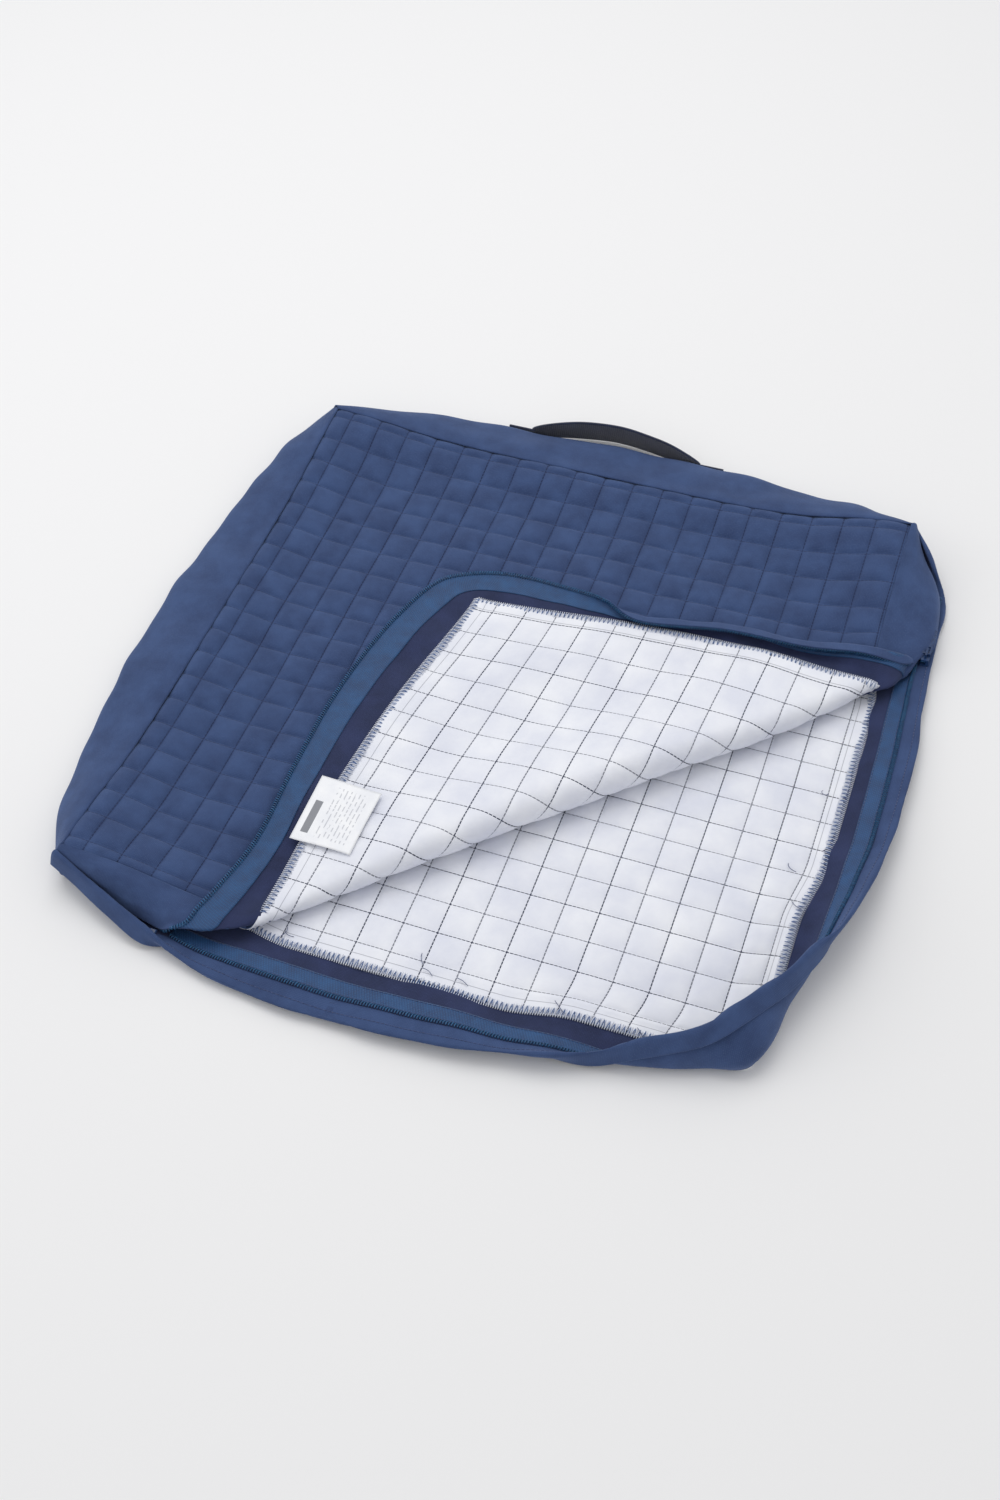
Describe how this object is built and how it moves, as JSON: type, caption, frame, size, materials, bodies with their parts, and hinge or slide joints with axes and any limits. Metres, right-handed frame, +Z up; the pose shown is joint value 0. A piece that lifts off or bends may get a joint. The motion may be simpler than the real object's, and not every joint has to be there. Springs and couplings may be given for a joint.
{
  "type": "floor cushion cover",
  "caption": "Empty square quilted cover of a box-style floor cushion, unzipped round one corner and folded back, with a webbing handle.",
  "frame": {"origin": "middle of the bottom panel's underside, where it lies on the floor", "axes": "+X along the front edge to the right, +Y to the back edge with the handle, +Z up"},
  "size_m": [0.5989, 0.6247, 0.0473],
  "materials": {
    "navy_cotton": "cotton canvas, matt",
    "white_lining": "white non-woven backing, matt",
    "wadding": "polyester wadding, matt",
    "zip_tape": "woven polyester zip tape",
    "zip_coil": "nylon coil",
    "zip_metal": "enamelled zinc",
    "webbing": "woven cotton webbing",
    "overlock_thread": "overlocked polyester thread",
    "label_satin": "white satin"
  },
  "bodies": {
    "cover": {"bottom_face": "navy_cotton", "bottom_wadding": "wadding", "bottom_backing": "white_lining", "bottom_overlock": "overlock_thread", "top_backing": "white_lining", "top_wadding": "wadding", "top_face": "navy_cotton", "left_gusset": "navy_cotton", "back_gusset": "navy_cotton", "front_lower_gusset": "navy_cotton", "corner_lower_gusset": "navy_cotton", "right_lower_gusset": "navy_cotton", "front_upper_gusset": "navy_cotton", "right_upper_gusset": "navy_cotton", "zip_lap": "navy_cotton", "lower_zip_tape": "zip_tape", "lower_zip_coil": "zip_coil", "zip_chain": "zip_coil", "zip_stop": "zip_metal", "handle_anchors": "webbing"},
    "flap": {"flap_face": "navy_cotton", "flap_wadding": "wadding", "flap_backing": "white_lining", "flap_front_gusset": "navy_cotton", "flap_corner_gusset": "navy_cotton", "flap_right_gusset": "navy_cotton", "flap_zip_tape": "zip_tape", "flap_zip_coil": "zip_coil", "flap_overlock": "overlock_thread"},
    "slider": {"zip_slider": "zip_metal"},
    "puller": {"zip_puller": "zip_metal"},
    "handle": {"handle_strap": "webbing"},
    "label": {"care_label": "label_satin"}
  },
  "joints": [
    {"name": "flap_fold", "type": "hinge", "parent": "cover", "child": "flap", "pos_m": [0.091, -0.091, 0.018], "axis": [0.7071, 0.7071, 0], "range_deg": [0, 168]},
    {"name": "label_flip", "type": "hinge", "parent": "flap", "child": "label", "pos_m": [-0.106, -0.156, 0.02615], "axis": [0, -1, 0], "range_deg": [0, 170]},
    {"name": "zip_slide", "type": "slide", "parent": "cover", "child": "slider", "axis": [0, 1, 0], "range_m": [0, 0.055]},
    {"name": "puller_swing", "type": "hinge", "parent": "slider", "child": "puller", "pos_m": [0.2878, 0.1365, 0.0158], "axis": [1, 0, 0], "range_deg": [0, 170]},
    {"name": "handle_swing", "type": "hinge", "parent": "cover", "child": "handle", "pos_m": [-0.0125, 0.3005, 0.0155], "axis": [1, 0, 0], "range_deg": [0, 60]}
  ]
}
